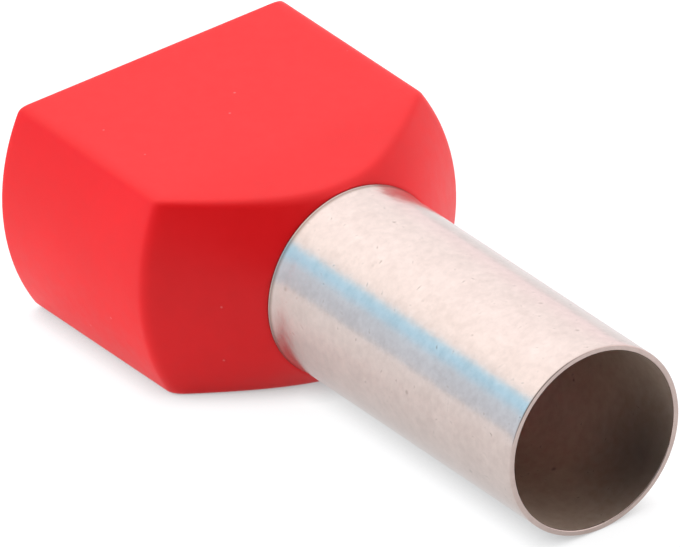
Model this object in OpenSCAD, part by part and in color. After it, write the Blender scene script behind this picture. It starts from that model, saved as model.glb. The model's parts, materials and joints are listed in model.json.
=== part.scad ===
// Twin wire-end ferrule: a drawn tinned-copper sleeve in a moulded plastic collar.
// Two insulated wires enter the oval pocket at the rear, and their strands share one sleeve.
// Millimetres. The sleeve's axis is X, and its mouth points to +X.
// The origin is on that axis, where the sleeve leaves the collar. The collar's flats face up and down.

/* [Crimp sleeve] */
// Outside diameter of the sleeve
sleeve_d = 6.9; // [4.5:0.1:9]
// Wall of the drawn tube
sleeve_wall = 0.2; // [0.15:0.05:0.4]
// Length that stands out of the collar
sleeve_len = 14; // [8:0.5:25]
// Length of the flared end that is held in the collar
flare_len = 1.3; // [0.8:0.1:2]
// How far the flare spreads, on the radius
flare_rise = 0.1; // [0.05:0.01:0.15]

/* [Collar] */
// Length of the collar, from its rear rim to its front edge
collar_len = 11.5; // [9:0.5:18]
// Width across the two bulged sides
collar_w = 13; // [10.5:0.1:18]
// How far each side bulges past the edge of the flats
side_bulge = 1.08; // [0.6:0.01:1.8]
// Plastic between the sleeve and the flats
skin = 0.45; // [0.4:0.01:0.8]
// Wall around the wire pocket
pocket_wall = 0.4; // [0.3:0.01:0.7]
// Radius of the four long edges between flats and sides
edge_r = 0.35; // [0.1:0.05:0.6]

/* [Shoulder] */
// Angle between the shoulder cone and the sleeve's axis
shoulder_angle = 44; // [35:1:55]
// Plastic left around the sleeve where the cone ends
lip = 0.08; // [0.05:0.01:0.2]
// Plastic left over the sleeve where the sloping flats end
front_skin = 0.19; // [0.1:0.01:0.35]

/* [Wire funnel] */
// Angle between the funnel and the axis
funnel_angle = 50; // [40:1:60]
// Length of the plastic edge that covers the end of the flare
throat_len = 0.2; // [0.1:0.05:0.5]

/* [Hidden] */
$fn = 96;
over = 1;                                   // how far a cutting tool runs past what it cuts
edge_crease = 8;                            // faint crease that is left where a rounded edge meets a face

sleeve_r = sleeve_d / 2;
bore_r = sleeve_r - sleeve_wall;
flare_r = sleeve_r + flare_rise;
throat_x = -flare_len - throat_len;         // the narrow end of the funnel

half_h = sleeve_r + skin;
flat_half_w = collar_w / 2 - side_bulge;
side_r = (pow(half_h, 2) + pow(side_bulge, 2)) / (2 * side_bulge);
side_y = collar_w / 2 - side_r;             // centre of the arc on the +Y side

cone_r = sleeve_r + lip;                    // the shoulder cone where it ends
corner_r = norm([flat_half_w, half_h]);     // a corner of the outline, from the axis
shoulder_len = (corner_r - cone_r) / tan(shoulder_angle);

// Revolves a profile of [x, radius] points about the X axis.
module about_x(profile)
    rotate([0, 90, 0])
        rotate_extrude()
            polygon([for (p = profile) [p[1], p[0]]]);

// Extrudes a [y, z] outline along X.
module along_x(x_from, x_to)
    translate([x_from, 0, 0])
        rotate([90, 0, 90])
            linear_extrude(x_to - x_from)
                children();

// The lens that the arcs of the two sides enclose.
module side_lens(inset)
    intersection() {
        translate([side_y, 0]) circle(side_r - inset);
        translate([-side_y, 0]) circle(side_r - inset);
    }

// The collar's outline, set in by inset: two flats, two bulged sides, corners rounded to radius r.
module flat_oval(inset, r) {
    round_z = half_h - inset - r;
    reach = side_r - inset - r;
    side_angle = asin(round_z / reach);
    round_y = side_y + reach * cos(side_angle);
    far = 2 * r;                            // past the sharp corner
    difference() {
        intersection() {
            square([collar_w, 2 * (half_h - inset)], center = true);
            side_lens(inset);
        }
        for (y = [0, 1], z = [0, 1])
            mirror([y, 0])
                mirror([0, z])
                    translate([round_y, round_z])
                        difference() {
                            polygon([[0, 0], far * [cos(side_angle), sin(side_angle)], [far, far], [0, far]]);
                            circle(r / cos(edge_crease));
                        }
    }
}

// Side view of the collar: level flats that slope down to the sleeve along the shoulder.
module sloping_flats()
    rotate([90, 0, 0])
        linear_extrude(collar_w + 2 * over, center = true)
            polygon([
                [-collar_len, -half_h],
                [-shoulder_len, -half_h],
                [0, -sleeve_r - front_skin],
                [0, sleeve_r + front_skin],
                [-shoulder_len, half_h],
                [-collar_len, half_h]
            ]);

module collar_body()
    intersection() {
        along_x(-collar_len, 0) flat_oval(0, edge_r);
        sloping_flats();
        about_x([
            [-collar_len, 0],
            [-collar_len, cone_r + collar_len * tan(shoulder_angle)],
            [0, cone_r],
            [0, 0]
        ]);
    }

// The oval pocket for the insulation, narrowing to the throat.
module wire_pocket() {
    far = collar_len + over;
    intersection() {
        along_x(-far, throat_x) flat_oval(pocket_wall, edge_r);
        about_x([
            [-far, 0],
            [-far, bore_r + (far + throat_x) * tan(funnel_angle)],
            [throat_x, bore_r],
            [throat_x, 0]
        ]);
    }
}

// The throat and the tapered seat of the sleeve's flared end.
module sleeve_seat()
    about_x([
        [throat_x - over, 0],
        [throat_x - over, bore_r],
        [-flare_len, bore_r],
        [-flare_len, flare_r],
        [0, sleeve_r],
        [over, sleeve_r],
        [over, 0]
    ]);

module insulating_collar()
    color("#e8434b")
        difference() {
            collar_body();
            wire_pocket();
            sleeve_seat();
        }

module crimp_sleeve()
    color("#d8d2cc")
        about_x([
            [sleeve_len, bore_r],
            [sleeve_len, sleeve_r],
            [0, sleeve_r],
            [-flare_len, flare_r],
            [-flare_len, flare_r - sleeve_wall],
            [0, bore_r]
        ]);

insulating_collar();
crimp_sleeve();
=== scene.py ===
import json
import math
import bmesh
import bpy
import numpy as np
from mathutils import Matrix, Vector


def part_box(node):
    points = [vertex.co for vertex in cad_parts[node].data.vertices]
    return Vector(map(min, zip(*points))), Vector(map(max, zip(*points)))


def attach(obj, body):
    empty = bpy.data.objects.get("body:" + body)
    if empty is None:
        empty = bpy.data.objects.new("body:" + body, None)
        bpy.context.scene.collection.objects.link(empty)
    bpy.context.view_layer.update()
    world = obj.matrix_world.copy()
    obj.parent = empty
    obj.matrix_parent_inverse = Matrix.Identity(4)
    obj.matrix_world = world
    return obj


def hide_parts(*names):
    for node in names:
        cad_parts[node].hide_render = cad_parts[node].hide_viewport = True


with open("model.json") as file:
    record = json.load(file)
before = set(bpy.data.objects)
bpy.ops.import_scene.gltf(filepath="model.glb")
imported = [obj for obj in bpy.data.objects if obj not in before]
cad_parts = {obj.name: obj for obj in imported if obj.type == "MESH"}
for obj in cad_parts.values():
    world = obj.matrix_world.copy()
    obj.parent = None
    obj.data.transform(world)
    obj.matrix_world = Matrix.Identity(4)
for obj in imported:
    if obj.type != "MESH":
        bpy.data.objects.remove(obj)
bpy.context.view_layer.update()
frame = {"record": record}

mm = 0.001  # sizes in the dictionaries are millimetres, the scene is in metres
mounts = {mount["name"]: mount["dims"] for mount in frame["record"]["mounts"]}
sleeveRadius = mounts["sleeve_outside"]["r_mm"]
boreRadius = mounts["conductor_bore"]["r_mm"]
sleeveLow, sleeveHigh = (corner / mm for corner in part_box("crimp_sleeve"))
collarLow, collarHigh = (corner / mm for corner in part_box("insulating_collar"))


def linearColour(hexCode):  # "#rrggbb" as written on screen, turned to the linear values that shaders take
    parts = [int(hexCode[i:i + 2], 16) / 255 for i in (1, 3, 5)]
    return tuple(p / 12.92 if p <= 0.04045 else ((p + 0.055) / 1.055) ** 2.4 for p in parts) + (1.0,)


def scaledColour(hexCode, level):
    return [part * level for part in linearColour(hexCode)[:3]] + [1.0]


def tinted(stops):  # a colour ramp's positions and tints, with the tints made linear
    return [(position, linearColour(tint)) for position, tint in stops]


def addNode(tree, kind, settings=None, inputs=None, stops=None):
    # inputs hold values, or sockets of other nodes to link from; stops are a colour ramp's, in rising order
    node = tree.nodes.new(kind)
    for name, value in (settings or {}).items():
        setattr(node, name, value)
    for name, value in (inputs or {}).items():
        if isinstance(value, bpy.types.NodeSocket):
            tree.links.new(value, node.inputs[name])
        else:
            node.inputs[name].default_value = value
    if stops:
        band = node.color_ramp.elements
        while len(band) < len(stops):
            band.new(1.0)
        for stop, (position, colour) in zip(band, stops):
            stop.position = position
            stop.color = colour
    return node


def newMaterial(name):
    material = bpy.data.materials.new(name)
    material.use_nodes = True
    material.node_tree.nodes.clear()
    return material, material.node_tree


def newPiece(name, bm, materials):
    mesh = bpy.data.meshes.new(name)
    bm.to_mesh(mesh)
    bm.free()
    piece = bpy.data.objects.new(name, mesh)
    bpy.context.scene.collection.objects.link(piece)
    for material in materials:
        mesh.materials.append(material)
    return piece


plasticLook = {
    "reds": ((0.4, "#e51317"), (1.0, "#ee171c")),  # over the clouds and streaks of pigment
    "cloudSize": 3.5,
    "flowSize": 0.45,  # finer streaks, where the melt ran
    "flowShare": 0.35,  # how much the streaks count against the clouds
    # specks fade out from core to edge, which are shares of their spacing
    "specks": {"colour": "#f07a78", "spacing": 1.0, "core": 0.025, "edge": 0.06, "strength": 0.7,
               "rarity": 0.55},
    "roughness": (0.36, 0.5),
    "grainSize": 0.09,  # the fine grain of the mould's wall
    "grainDepth": 0.01,
    "grainStrength": 0.2,
    "glowDepth": 0.35,  # how far light gets into the plastic
}


def mouldedPolypropylene():
    # polypropylene, injection moulded and pigmented red: a soft satin gloss, a hint of glow at the edges,
    # and a few pale specks
    look, specks = plasticLook, plasticLook["specks"]
    material, tree = newMaterial("moulded polypropylene, red")
    place = addNode(tree, "ShaderNodeTexCoord").outputs["Object"]
    cloud = addNode(tree, "ShaderNodeTexNoise",
                    inputs={"Vector": place, "Scale": 1 / (look["cloudSize"] * mm), "Detail": 3.0})
    flow = addNode(tree, "ShaderNodeTexNoise",
                   inputs={"Vector": place, "Scale": 1 / (look["flowSize"] * mm), "Detail": 4.0})
    mix = addNode(tree, "ShaderNodeMath", {"operation": "MULTIPLY_ADD"},
                  {0: flow.outputs["Fac"], 1: look["flowShare"], 2: cloud.outputs["Fac"]})
    red = addNode(tree, "ShaderNodeValToRGB", inputs={"Fac": mix.outputs[0]},
                  stops=tinted(look["reds"]))
    speckCell = addNode(tree, "ShaderNodeTexVoronoi", {"feature": "F1"},
                        {"Vector": place, "Scale": 1 / (specks["spacing"] * mm)})
    speckSize = addNode(tree, "ShaderNodeMapRange", {"clamp": True},
                        {"Value": speckCell.outputs["Distance"], "From Min": specks["core"],
                         "From Max": specks["edge"], "To Min": specks["strength"], "To Max": 0.0})
    speckPick = addNode(tree, "ShaderNodeSeparateColor", inputs={"Color": speckCell.outputs["Color"]})
    speckOn = addNode(tree, "ShaderNodeMath", {"operation": "GREATER_THAN"},
                      {0: speckPick.outputs[0], 1: specks["rarity"]})
    speck = addNode(tree, "ShaderNodeMath", {"operation": "MULTIPLY"},
                    {0: speckSize.outputs[0], 1: speckOn.outputs[0]})
    colour = addNode(tree, "ShaderNodeMix", {"data_type": "RGBA"},
                     {"Factor": speck.outputs[0], 6: red.outputs["Color"],
                      7: linearColour(specks["colour"])})
    grain = addNode(tree, "ShaderNodeTexNoise",
                    inputs={"Vector": place, "Scale": 1 / (look["grainSize"] * mm), "Detail": 2.0})
    rough = addNode(tree, "ShaderNodeMapRange",
                    inputs={"Value": flow.outputs["Fac"], "To Min": look["roughness"][0],
                            "To Max": look["roughness"][1]})
    relief = addNode(tree, "ShaderNodeBump",
                     inputs={"Height": grain.outputs["Fac"], "Strength": look["grainStrength"],
                             "Distance": look["grainDepth"] * mm})
    shader = addNode(tree, "ShaderNodeBsdfPrincipled",
                     inputs={"Base Color": colour.outputs[2], "Roughness": rough.outputs[0],
                             "Normal": relief.outputs[0], "IOR": 1.49, "Specular IOR Level": 0.21,
                             "Subsurface Weight": 0.12, "Subsurface Radius": (1.0, 0.25, 0.2),
                             "Subsurface Scale": look["glowDepth"] * mm})
    addNode(tree, "ShaderNodeOutputMaterial", inputs={"Surface": shader.outputs[0]})
    return material


tinLook = {
    "cloudSize": 1.1,  # clouds in the plating, across
    "patchSize": 0.32,  # finer mottling
    "cloudShare": 0.5,  # how much the clouds count against the mottling
    "lineSize": 0.12,  # fine lines that the drawing die leaves, made as coarse as they need to show
    "lineStretch": 0.08,  # the lines run along the tube
    "lineHeight": 0.25,
    "waveHeight": 5.0,  # the wall isn't quite true, so reflections waver
    "reliefDepth": 0.01,
    # scratches are short pieces of cell borders, where the mottling is strong; nicks are the middles of a
    # few cells; both fade out from core to edge, which are shares of their spacing
    "scratches": {"spacing": 0.9, "core": 0.01, "edge": 0.035, "patches": (0.6, 0.68)},
    "nicks": {"spacing": 0.8, "core": 0.05, "edge": 0.14, "strength": 0.7},
    "ends": (  # tints along the way out, as shares of it: painted shade in a narrow band against the collar, and a duller cut end
        (0, "#ffffff"), (0.008, "#b9b0ab"), (0.017, "#ffffff"), (0.994, "#ffffff"), (1, "#f0ebea")),
    # painted shade on the bore, darkest near the mouth's lower right, with the rest of the bore painted
    # lighter: where its middle is, in degrees from +Y and in millimetres back from the mouth, how far it
    # reaches, and how light it is
    "paintedBoreShade": {"turn": -40, "back": 1.0, "reach": 3.4, "middle": 0.44, "around": 1.24},
    "bright": {"tones": ((0.55, "#c8b8b1"), (0.95, "#d4c4bd")), "marks": "#ab9c94", "nickRarity": 0.72,
               "relief": 0.2, "roughness": (0.12, 0.26), "metallic": 1.0},
    "dull": {"tones": ((0.55, "#a29080"), (0.95, "#af9f91")), "marks": "#7f6f66", "nickRarity": 0.92,
             "relief": 0.1, "roughness": (0.5, 0.65), "metallic": 0.5},
}


def tinnedCopper(name, finish):
    # copper tube, deep drawn and tin plated: warm silver, satin, mottled by the plating, with small
    # scratches and nicks; the bath barely reaches into the bore, so it stays dull, browner and rougher
    look, scratches, nicks, own = tinLook, tinLook["scratches"], tinLook["nicks"], tinLook[finish]
    material, tree = newMaterial(name)
    place = addNode(tree, "ShaderNodeTexCoord").outputs["Object"]
    cloud = addNode(tree, "ShaderNodeTexNoise",
                    inputs={"Vector": place, "Scale": 1 / (look["cloudSize"] * mm), "Detail": 3.0})
    patch = addNode(tree, "ShaderNodeTexNoise",
                    inputs={"Vector": place, "Scale": 1 / (look["patchSize"] * mm), "Detail": 4.0,
                            "Roughness": 0.65})
    mixed = addNode(tree, "ShaderNodeMath", {"operation": "MULTIPLY_ADD"},
                    {0: cloud.outputs["Fac"], 1: look["cloudShare"], 2: patch.outputs["Fac"]})
    tone = addNode(tree, "ShaderNodeValToRGB", inputs={"Fac": mixed.outputs[0]},
                   stops=tinted(own["tones"]))
    along = addNode(tree, "ShaderNodeSeparateXYZ", inputs={0: place})
    share = addNode(tree, "ShaderNodeMath", {"operation": "DIVIDE"},
                    {0: along.outputs["X"], 1: sleeveHigh.x * mm})
    # painted shade: a narrow darker band on the sleeve where it meets the collar, and the cut end a shade
    # duller
    ends = addNode(tree, "ShaderNodeValToRGB", inputs={"Fac": share.outputs[0]},
                   stops=tinted(look["ends"]))
    toneWithPaintedShade = addNode(tree, "ShaderNodeMix", {"data_type": "RGBA", "blend_type": "MULTIPLY"},
                   {"Factor": 1.0, 6: tone.outputs["Color"], 7: ends.outputs["Color"]})
    if finish == "dull":
        # painted shade on the bore near the mouth's lower right, and painted light on the rest of the bore
        paintedBoreShade = look["paintedBoreShade"]
        turn = math.radians(paintedBoreShade["turn"])
        down, out = boreRadius * math.sin(turn), boreRadius * math.cos(turn)
        middle = Vector((sleeveHigh.x - paintedBoreShade["back"], out, down))
        away = addNode(tree, "ShaderNodeVectorMath", {"operation": "DISTANCE"}, {0: place, 1: middle * mm})
        fade = addNode(tree, "ShaderNodeMapRange", {"interpolation_type": "SMOOTHSTEP"},
                       {"Value": away.outputs["Value"], "From Min": 0.0, "From Max": paintedBoreShade["reach"] * mm,
                        "To Min": paintedBoreShade["middle"], "To Max": paintedBoreShade["around"]})
        toneWithPaintedShade = addNode(tree, "ShaderNodeMix", {"data_type": "RGBA", "blend_type": "MULTIPLY"},
                       {"Factor": 1.0, 6: toneWithPaintedShade.outputs[2], 7: fade.outputs[0]})
    scratchCell = addNode(tree, "ShaderNodeTexVoronoi", {"feature": "DISTANCE_TO_EDGE"},
                          {"Vector": place, "Scale": 1 / (scratches["spacing"] * mm)})
    scratchLine = addNode(tree, "ShaderNodeMapRange", {"clamp": True},
                          {"Value": scratchCell.outputs["Distance"], "From Min": scratches["core"],
                           "From Max": scratches["edge"], "To Min": 1.0, "To Max": 0.0})
    scratchPart = addNode(tree, "ShaderNodeMapRange", {"clamp": True},
                          {"Value": patch.outputs["Fac"], "From Min": scratches["patches"][0],
                           "From Max": scratches["patches"][1], "To Min": 0.0, "To Max": 1.0})
    scratch = addNode(tree, "ShaderNodeMath", {"operation": "MULTIPLY"},
                      {0: scratchLine.outputs[0], 1: scratchPart.outputs[0]})
    nickCell = addNode(tree, "ShaderNodeTexVoronoi", {"feature": "F1"},
                       {"Vector": place, "Scale": 1 / (nicks["spacing"] * mm)})
    nickSize = addNode(tree, "ShaderNodeMapRange", {"clamp": True},
                       {"Value": nickCell.outputs["Distance"], "From Min": nicks["core"],
                        "From Max": nicks["edge"], "To Min": nicks["strength"], "To Max": 0.0})
    nickPick = addNode(tree, "ShaderNodeSeparateColor", inputs={"Color": nickCell.outputs["Color"]})
    nickOn = addNode(tree, "ShaderNodeMath", {"operation": "GREATER_THAN"},
                     {0: nickPick.outputs[1], 1: own["nickRarity"]})
    nick = addNode(tree, "ShaderNodeMath", {"operation": "MULTIPLY"},
                   {0: nickSize.outputs[0], 1: nickOn.outputs[0]})
    mark = addNode(tree, "ShaderNodeMath", {"operation": "MAXIMUM"},
                   {0: scratch.outputs[0], 1: nick.outputs[0]})
    colour = addNode(tree, "ShaderNodeMix", {"data_type": "RGBA"},
                     {"Factor": mark.outputs[0], 6: toneWithPaintedShade.outputs[2], 7: linearColour(own["marks"])})
    rough = addNode(tree, "ShaderNodeMapRange",
                    inputs={"Value": patch.outputs["Fac"], "To Min": own["roughness"][0],
                            "To Max": own["roughness"][1]})
    drawn = addNode(tree, "ShaderNodeMapping",
                    inputs={"Vector": place, "Scale": (look["lineStretch"], 1.0, 1.0)})
    lines = addNode(tree, "ShaderNodeTexNoise",
                    inputs={"Vector": drawn.outputs[0], "Scale": 1 / (look["lineSize"] * mm), "Detail": 2.0})
    fine = addNode(tree, "ShaderNodeMath", {"operation": "MULTIPLY_ADD"},
                   {0: lines.outputs["Fac"], 1: look["lineHeight"], 2: patch.outputs["Fac"]})
    wave = addNode(tree, "ShaderNodeMath", {"operation": "MULTIPLY_ADD"},
                   {0: cloud.outputs["Fac"], 1: look["waveHeight"], 2: fine.outputs[0]})
    sunk = addNode(tree, "ShaderNodeMath", {"operation": "SUBTRACT"},
                   {0: wave.outputs[0], 1: mark.outputs[0]})
    relief = addNode(tree, "ShaderNodeBump",
                     inputs={"Height": sunk.outputs[0], "Strength": own["relief"],
                             "Distance": look["reliefDepth"] * mm})
    shader = addNode(tree, "ShaderNodeBsdfPrincipled",
                     inputs={"Base Color": colour.outputs[2], "Roughness": rough.outputs[0],
                             "Normal": relief.outputs[0], "Metallic": own["metallic"]})
    addNode(tree, "ShaderNodeOutputMaterial", inputs={"Surface": shader.outputs[0]})
    return material


collar = {
    "sideBulge": 1.08,  # how far a side bulges past the edge of the flats
    "draft": 0.1,  # the flats close up this much from the rear to the shoulder, to leave the mould
    "shoulderAngle": 44,  # between the shoulder cone and the axis
    "lip": 0.08,  # plastic left round the sleeve where the cone ends
    "frontSkin": 0.19,  # plastic left over the sleeve where the flats end
    "pocketWall": 0.4,
    "funnelAngle": 50,
    "throat": -1.5,  # where the funnel ends and the sleeve's bore begins
    "edgeSoft": 0.3,  # how wide the long edges are rounded
    "shoulderSoft": 0.26,
    "flatSoft": 0.03,
    "rimRound": 0.12,
    "innerRimShare": 0.8,  # the pocket's side of the rim is rounded less
    "cornerLimit": 76,  # degrees up from the side, past which the columns of quads never crowd
    "sideColumns": 18,  # quads from the middle of a side to the corner
    "flatColumns": 18,  # quads from the corner to the middle of a flat
    "bodyRings": (-11.2, -10.2, -9.0, -7.8, -6.6, -5.6, -4.8, -4.2, -3.85),
    "shoulderRings": (-0.36, -0.26, -0.19, -0.14, -0.1, -0.06, -0.02,
                      0.02, 0.06, 0.1, 0.14, 0.19, 0.26, 0.36),  # these count from the shoulder
    "shoulderReach": (1.2, 0.8),  # rings bend with the shoulder's line up to here, and over this length
    "noseRings": (-2.65, -2.35, -2.05, -1.75, -1.45, -1.2, -0.97, -0.77,
                  -0.6, -0.45, -0.33, -0.23, -0.15, -0.09, -0.05),
    "lipRings": ((-0.02, 0.005), (-0.004, -0.012), (0, -0.03)),  # x, and radius past the cone's end
    "seatRings": ((-0.004, 0.008), (-0.06, 0.011), (-0.25, 0.024)),  # x, and radius past the sleeve
    "flareGap": 0.008,  # left round the sleeve's flared end
    "stepSoft": (0.03, 0.01),  # the edges of the throat, along and across
    "funnelRings": (-1.53, -1.6, -1.7, -1.82, -2.0, -2.25, -2.6, -3.0,
                    -3.4, -3.7, -3.85, -3.95, -4.05, -4.15, -4.4),
    "pocketRings": (-5.2, -6.5, -8.0, -9.5, -10.6, -11.1),
}
halfWidth, halfHeight, rearX = collarHigh.y, collarHigh.z, collarLow.x
sideRadius = (halfHeight ** 2 + collar["sideBulge"] ** 2) / (2 * collar["sideBulge"])
sideCentre = halfWidth - sideRadius
coneRise = math.tan(math.radians(collar["shoulderAngle"]))
coneRadius = sleeveRadius + collar["lip"]
funnelRise = math.tan(math.radians(collar["funnelAngle"]))
cornerReach = math.hypot(halfWidth - collar["sideBulge"], halfHeight)
shoulderX = -(cornerReach - coneRadius) / coneRise


def softMin(a, b, width):  # the smaller of two reaches, rounded over where they cross
    share = np.clip(0.5 + (b - a) / (2 * width), 0, 1)
    return b + (a - b) * share - width * share * (1 - share)


def sideReach(angle, inset):  # from the axis out to a bulged side
    half = np.sqrt((sideRadius - inset) ** 2 - (sideCentre * np.sin(angle)) ** 2)
    return sideCentre * np.cos(angle) + half


def flatHeight(x):  # flats with a little draft, that slope down to the sleeve along the shoulder
    front, shoulder = sleeveRadius + collar["frontSkin"], halfHeight - collar["draft"]
    body = shoulder + collar["draft"] * (shoulderX - x) / (shoulderX - rearX)
    return softMin(front + (shoulder - front) * x / shoulderX, body, collar["flatSoft"])


def quarterAngles(corner):  # columns crowd towards the corner, so that its rounding is smooth
    side = corner * (1 - (1 - np.linspace(0, 1, collar["sideColumns"] + 1)) ** 2)
    flat = corner + (math.pi / 2 - corner) * np.linspace(0, 1, collar["flatColumns"] + 1)[1:] ** 2
    return np.concatenate([side, flat])


def skinQuarter(x, inset, kind):  # a quarter of one ring: angles from +Y, and each point's x and reach
    steepest = math.radians(collar["cornerLimit"])
    if kind == "circle":
        angle = quarterAngles(steepest)
        return angle, np.full_like(angle, x), np.full_like(angle, inset)
    outside = kind == "outside"
    cone = coneRadius - x * coneRise if outside else boreRadius + (collar["throat"] - x) * funnelRise
    height = (flatHeight(x) if outside else halfHeight) - inset
    corner = math.atan2(height, sideCentre + math.sqrt((sideRadius - inset) ** 2 - height ** 2))
    corner = min(max(corner, math.asin(min(1, height / cone))), steepest)
    angle = quarterAngles(corner)
    across = np.full_like(angle, x)
    if outside:  # rings follow the line where the shoulder meets the bulged side
        far, length = collar["shoulderReach"]
        fade = np.clip((far - abs(x - shoulderX)) / length, 0, 1)
        short = cornerReach - np.minimum(sideReach(angle, 0), cornerReach)
        across = x + fade * np.where(angle < corner, short / coneRise, 0)
        cone, height = coneRadius - across * coneRise, flatHeight(across) - inset
    reach = softMin(sideReach(angle, inset), height / np.maximum(np.sin(angle), 1e-6), collar["edgeSoft"])
    return angle, across, softMin(reach, cone, collar["shoulderSoft"])


def ringPoints(x, inset, kind):
    # a whole ring of the collar's skin, from its quarter at x: outside, inside the wire pocket, or a circle
    angle, across, reach = skinQuarter(x, inset, kind)
    full = []
    for turn, backwards in ((0, False), (math.pi, True), (math.pi, False), (2 * math.pi, True)):
        order = range(len(angle) - 1, 0, -1) if backwards else range(len(angle) - 1)
        for k in order:
            a = turn - angle[k] if backwards else turn + angle[k]
            full.append(Vector((across[k], reach[k] * math.cos(a), reach[k] * math.sin(a))) * mm)
    return full


def collarRings():  # along the outside from the rear, round the lip, and back through funnel and pocket
    rim, wall, throat = collar["rimRound"], collar["pocketWall"], collar["throat"]
    flareX, flareRadius = sleeveLow.x, sleeveHigh.z
    stepBack, stepDown = collar["stepSoft"]
    # how far each ring of a rounding stands from the rear face, and from the skin, as shares of its radius
    rounding = [(1 - math.cos(t), 1 - math.sin(t)) for t in np.radians(np.linspace(0, 90, 6))]
    rings = [(rearX + rim * back, rim * down, "outside") for back, down in rounding]
    rings += [(x, 0, "outside") for x in collar["bodyRings"]]
    rings += [(shoulderX + x, 0, "outside") for x in collar["shoulderRings"]]
    rings += [(x, 0, "outside") for x in collar["noseRings"]]
    rings += [(x, coneRadius + past, "circle") for x, past in collar["lipRings"]]
    rings += [(x, sleeveRadius + past, "circle") for x, past in collar["seatRings"]]
    steps = [(flareX, flareRadius + collar["flareGap"]), (flareX, boreRadius + stepDown),
             (flareX - stepBack, boreRadius), (throat + stepBack, boreRadius)]
    rings += [(x, radius, "circle") for x, radius in steps]
    rings += [(x, wall, "inside") for x in collar["funnelRings"] + collar["pocketRings"]]
    inner = rim * collar["innerRimShare"]
    rings += [(rearX + rim * back, wall - inner * down, "inside") for back, down in rounding[::-1]]
    return rings


def collarPiece(material):
    # the section turns from a bulged oval into a circle along a curved line, which no bevel or spin gives:
    # a loop is extruded once for each ring, and its vertices are set to that ring's section
    columns = 4 * (collar["sideColumns"] + collar["flatColumns"])
    bm = bmesh.new()
    bmesh.ops.create_circle(bm, segments=columns, radius=1)
    bm.verts.ensure_lookup_table()
    column = bm.verts.layers.int.new("column")  # each vertex keeps its place in the ring as it is extruded
    for i, vert in enumerate(bm.verts):
        vert[column] = i
    first = loop = bm.edges[:]
    for number, (x, inset, kind) in enumerate(collarRings()):
        if number:
            made = bmesh.ops.extrude_edge_only(bm, edges=loop)["geom"]
            loop = [part for part in made if isinstance(part, bmesh.types.BMEdge)]
        points = ringPoints(x, inset, kind)
        for vert in {v for edge in loop for v in edge.verts}:
            vert.co = points[vert[column]]
    bmesh.ops.bridge_loops(bm, edges=first + loop)
    bmesh.ops.recalc_face_normals(bm, faces=bm.faces[:])
    for face in bm.faces:
        face.smooth = True
    return newPiece("collar_moulding", bm, [material])


sleeve = {
    "steps": 192,  # faces round the tube
    "longWall": 2,  # walls longer than this are cut into rings
    "wallRings": 28,
    "weld": 0.0005,
    "rimRound": 0.05,  # the cut end is tumbled smooth
    "rimAngle": 60,  # edges sharper than this are the rims,
    "rimsPast": 1,  # when they are further than this from where the sleeve leaves the collar
    "bend": (  # where the tube starts to open out against the collar: x, and radius past the sleeve
        (0.75, 0), (0.6, 0.002), (0.46, 0.007), (0.34, 0.014), (0.24, 0.023), (0.16, 0.031),
        (0.1, 0.037), (0.05, 0.046), (0.015, 0.05), (0.002, 0.03), (0, 0)),
}


def sleevePiece(outside, bore):
    mouthX, flareX, flareRadius = sleeveHigh.x, sleeveLow.x, sleeveHigh.z
    wall = sleeveRadius - boreRadius
    profile = [(mouthX, sleeveRadius)] + [(x, sleeveRadius + past) for x, past in sleeve["bend"]]
    profile += [(flareX, flareRadius), (flareX, flareRadius - wall), (0, boreRadius), (mouthX, boreRadius)]
    bm = bmesh.new()
    verts = [bm.verts.new((x * mm, 0, radius * mm)) for x, radius in profile]
    edges = [bm.edges.new((verts[i - 1], verts[i])) for i in range(len(verts))]
    walls = [edge for edge in edges if edge.calc_length() > sleeve["longWall"] * mm]
    bmesh.ops.subdivide_edges(bm, edges=walls, cuts=sleeve["wallRings"])
    bmesh.ops.spin(bm, geom=bm.verts[:] + bm.edges[:], cent=(0, 0, 0), axis=(1, 0, 0), angle=2 * math.pi,
                   steps=sleeve["steps"], use_merge=True)
    bmesh.ops.remove_doubles(bm, verts=bm.verts[:], dist=sleeve["weld"] * mm)
    bmesh.ops.recalc_face_normals(bm, faces=bm.faces[:])
    ends = [e for e in bm.edges if len(e.link_faces) == 2 and abs(e.verts[0].co.x) > sleeve["rimsPast"] * mm]
    rims = [e for e in ends if e.calc_face_angle(0) > math.radians(sleeve["rimAngle"])]
    bmesh.ops.bevel(bm, geom=rims, offset=sleeve["rimRound"] * mm, segments=4, profile=0.5, affect="EDGES",
                    clamp_overlap=True, material=-1)
    for face in bm.faces:
        face.smooth = True
        middle = face.calc_center_median() / mm
        inward = face.normal.y * middle.y + face.normal.z * middle.z < 0
        face.material_index = 1 if inward and middle.x < mouthX - sleeve["rimRound"] else 0
    return newPiece("sleeve_tube", bm, [outside, bore])


plastic = mouldedPolypropylene()
tin = tinnedCopper("tinned copper, drawn", "bright")
dullTin = tinnedCopper("tinned copper, dull bore", "dull")
print("materials made")

collarObject = collarPiece(plastic)
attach(collarObject, "root")
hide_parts("insulating_collar")
print("collar", len(collarObject.data.polygons), "faces")

sleeveObject = sleevePiece(tin, dullTin)
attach(sleeveObject, "root")
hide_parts("crimp_sleeve")
print("sleeve", len(sleeveObject.data.polygons), "faces")


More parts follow.
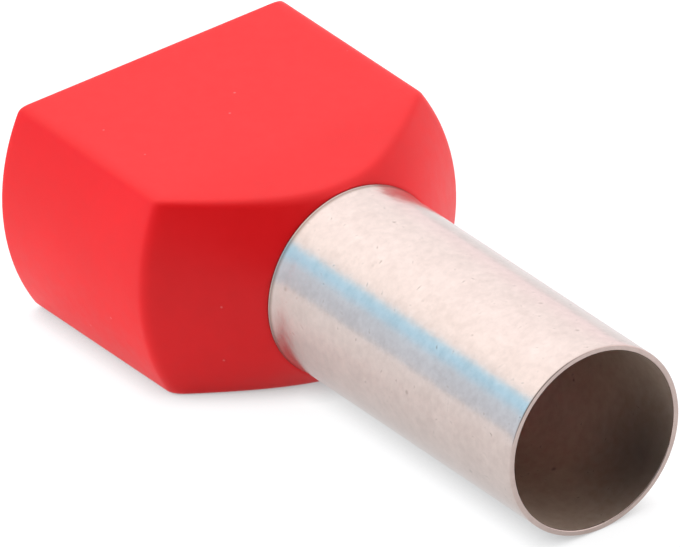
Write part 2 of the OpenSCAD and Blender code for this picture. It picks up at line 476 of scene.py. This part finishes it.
studio = {
    "floorSize": 4.0,  # in metres
    "floorColour": "#f4f4f5",
    "floorLift": 0.91,  # light that comes up through the table to the camera, so that it stays white
    "floorGain": 0.2,  # the share of the lit floor in what the camera sees
    "paintedShadowReach": 1.0,  # the lift fades within this many millimetres of the ferrule: a painted contact shadow
    "paintedShadowDepth": 0.6,
    "paintedShadowPower": 2.0,
    "floorGloss": 0.55,  # how much of plain white gloss and glass see instead of the lit floor
    "tentGloss": 0.3,  # and how much of it instead of the tent
    # the tent's cloth: degrees round the ferrule's axis, from its right over the top to its left and below,
    # with the tint and the level there
    "tent": (
        (4, "#fdf0f6", 1.5), (35, "#fdfcff", 1.65), (85, "#fefdff", 1.92), (118, "#fefdfd", 1.84),
        (131, "#fdfbfa", 1.62), (138, "#90dafc", 1.9), (147, "#90d7fc", 1.8), (156, "#cae5fa", 1.4),
        (166, "#cbe5fb", 1.27), (178, "#cfe6fa", 1.2), (182, "#ffffff", 1.0), (358, "#fff2f8", 1.25)),
    "opening": {"azimuth": -32, "elevation": 22, "dim": 0.03, "near": 0.9, "far": 0.15},  # the camera's side
    # the lamps: azimuth from +X towards +Y and elevation in degrees, sizes and distance in metres, radiance
    "left": {"azimuth": -128, "elevation": 26, "distance": 0.3, "width": 0.16, "height": 0.14, "level": 4.9},
    "fill": {"size": 0.2, "level": 0.13, "gap": 0.02},  # lies on the table and shines up at the undersides
}


def raysOf(tree):  # 1 for rays straight from the camera, 1 for rays that gloss or glass sends on
    path = addNode(tree, "ShaderNodeLightPath")
    gloss = addNode(tree, "ShaderNodeMath", {"operation": "MAXIMUM"},
                    {0: path.outputs["Is Glossy Ray"], 1: path.outputs["Is Transmission Ray"]})
    return path.outputs["Is Camera Ray"], gloss.outputs[0]


def tablePlace():  # the ferrule rests on the collar's lower edge and the mouth's lower rim, slightly tilted
    shoulderHeight = halfHeight - collar["draft"]
    tilt = math.atan2(shoulderHeight - sleeveRadius, sleeveHigh.x - shoulderX)
    return Matrix.Translation(Vector((shoulderX, 0, -shoulderHeight)) * mm) @ Matrix.Rotation(-tilt, 4, "Y")


def floorPiece():
    # a matt white table: the camera sees it lifted to white, but for a painted contact shadow, from ambient
    # occlusion, where the ferrule touches, and a fifth of its own lit shadow
    bm = bmesh.new()
    bmesh.ops.create_grid(bm, x_segments=1, y_segments=1, size=studio["floorSize"] / 2, matrix=tablePlace())
    material, tree = newMaterial("studio floor, matt white")
    seen, gloss = raysOf(tree)
    colour = addNode(tree, "ShaderNodeMix", {"data_type": "RGBA"},
                     {"Factor": seen, 6: linearColour(studio["floorColour"]),
                      7: scaledColour(studio["floorColour"], studio["floorGain"])})
    matt = addNode(tree, "ShaderNodeBsdfDiffuse", inputs={"Color": colour.outputs[2]})
    # painted contact shadow: the camera's lift drops where ambient occlusion finds the ferrule close
    near = addNode(tree, "ShaderNodeAmbientOcclusion", {"samples": 4},
                   {"Distance": studio["paintedShadowReach"] * mm})
    covered = addNode(tree, "ShaderNodeMath", {"operation": "SUBTRACT"}, {0: 1.0, 1: near.outputs["AO"]})
    falloff = addNode(tree, "ShaderNodeMath", {"operation": "POWER"},
                      {0: covered.outputs[0], 1: studio["paintedShadowPower"]})
    table = addNode(tree, "ShaderNodeMath", {"operation": "MULTIPLY_ADD"},
                    {0: falloff.outputs[0], 1: -studio["paintedShadowDepth"], 2: studio["floorLift"]})
    lift = addNode(tree, "ShaderNodeMath", {"operation": "MULTIPLY"}, {0: seen, 1: table.outputs[0]})
    glow = addNode(tree, "ShaderNodeEmission", inputs={"Color": (1, 1, 1, 1), "Strength": lift.outputs[0]})
    lit = addNode(tree, "ShaderNodeAddShader", inputs={0: matt.outputs[0], 1: glow.outputs[0]})
    white = addNode(tree, "ShaderNodeEmission", inputs={"Color": (1, 1, 1, 1), "Strength": 1.0})
    share = addNode(tree, "ShaderNodeMath", {"operation": "MULTIPLY"}, {0: gloss, 1: studio["floorGloss"]})
    both = addNode(tree, "ShaderNodeMixShader",
                   inputs={0: share.outputs[0], 1: lit.outputs[0], 2: white.outputs[0]})
    addNode(tree, "ShaderNodeOutputMaterial", inputs={"Surface": both.outputs[0]})
    return newPiece("floor", bm, [material])


def direction(azimuth, elevation):
    a, e = math.radians(azimuth), math.radians(elevation)
    return Vector((math.cos(a) * math.cos(e), math.sin(a) * math.cos(e), math.sin(e)))


def softbox(name, place, width, height, level):
    lamp = bpy.data.lights.new(name, "AREA")
    lamp.shape, lamp.size, lamp.size_y = "RECTANGLE", width, height
    lamp.energy = level * math.pi * width * height
    box = bpy.data.objects.new(name, lamp)
    box.matrix_world = place
    box.visible_camera = box.visible_glossy = False  # the tent is what gloss sees
    bpy.context.scene.collection.objects.link(box)


def tentWorld():
    # a white light tent: brightest overhead, a cool seam low on the left, dark where the camera looks in
    world = bpy.data.worlds.new("light tent")
    world.use_nodes = True
    tree = world.node_tree
    tree.nodes.clear()
    look = addNode(tree, "ShaderNodeTexCoord").outputs["Generated"]
    across = addNode(tree, "ShaderNodeSeparateXYZ", inputs={0: look})
    turned = addNode(tree, "ShaderNodeMath", {"operation": "ARCTAN2"},
                     {0: across.outputs["Z"], 1: across.outputs["Y"]})
    around = addNode(tree, "ShaderNodeMath", {"operation": "MULTIPLY_ADD"},
                     {0: turned.outputs[0], 1: 0.5 / math.pi, 2: 1.0})  # in whole turns
    part = addNode(tree, "ShaderNodeMath", {"operation": "FRACT"}, {0: around.outputs[0]})
    cloth = addNode(tree, "ShaderNodeValToRGB", inputs={"Fac": part.outputs[0]},
                    stops=[(turn / 360, scaledColour(tint, level)) for turn, tint, level in studio["tent"]])
    opening = studio["opening"]
    facing = addNode(tree, "ShaderNodeVectorMath", {"operation": "DOT_PRODUCT"},
                     {0: look, 1: direction(opening["azimuth"], opening["elevation"])})
    dim = addNode(tree, "ShaderNodeMapRange", {"interpolation_type": "SMOOTHSTEP"},
                  {"Value": facing.outputs["Value"], "From Min": opening["far"], "From Max": opening["near"],
                   "To Min": 1.0, "To Max": opening["dim"]})
    tent = addNode(tree, "ShaderNodeBackground",
                   inputs={"Color": cloth.outputs["Color"], "Strength": dim.outputs[0]})
    white = addNode(tree, "ShaderNodeBackground", inputs={"Color": (1, 1, 1, 1), "Strength": 1.0})
    seen, gloss = raysOf(tree)
    share = addNode(tree, "ShaderNodeMath", {"operation": "MULTIPLY_ADD"},
                    {0: gloss, 1: studio["tentGloss"], 2: seen})
    both = addNode(tree, "ShaderNodeMixShader",
                   inputs={0: share.outputs[0], 1: tent.outputs[0], 2: white.outputs[0]})
    addNode(tree, "ShaderNodeOutputWorld", inputs={"Surface": both.outputs[0]})
    return world


floorPiece()
left, fill = studio["left"], studio["fill"]
outward = direction(left["azimuth"], left["elevation"])
facing = outward.to_track_quat("Z", "Y").to_matrix().to_4x4()
leftPlace = Matrix.Translation(outward * left["distance"]) @ facing
fillPlace = tablePlace() @ Matrix.Translation((0, 0, fill["gap"] * mm)) @ Matrix.Rotation(math.pi, 4, "X")
softbox("left", leftPlace, left["width"], left["height"], left["level"])
softbox("fill", fillPlace, fill["size"], fill["size"], fill["level"])
bpy.context.scene.world = tentWorld()

view = {
    "azimuth": -32.712,  # degrees from +X towards +Y
    "elevation": 30.583,
    "roll": 4.803,
    "aim": (-0.648, -0.069, 0.0),
    "distance": 0.8004,  # in metres
    "lens": 1257.8,
    "clip": (0.01, 10),
}
toCamera = direction(view["azimuth"], view["elevation"])
camera = bpy.data.objects.new("camera", bpy.data.cameras.new("camera"))
bpy.context.scene.collection.objects.link(camera)
camera.data.lens = view["lens"]
camera.data.clip_start, camera.data.clip_end = view["clip"]
camera.location = Vector(view["aim"]) * mm + toCamera * view["distance"]
roll = Matrix.Rotation(math.radians(-view["roll"]), 4, "Z")
camera.rotation_euler = (toCamera.to_track_quat("Z", "Y").to_matrix().to_4x4() @ roll).to_euler()
bpy.context.scene.camera = camera
bpy.context.scene.view_settings.view_transform = "Standard"
print("studio and camera placed")
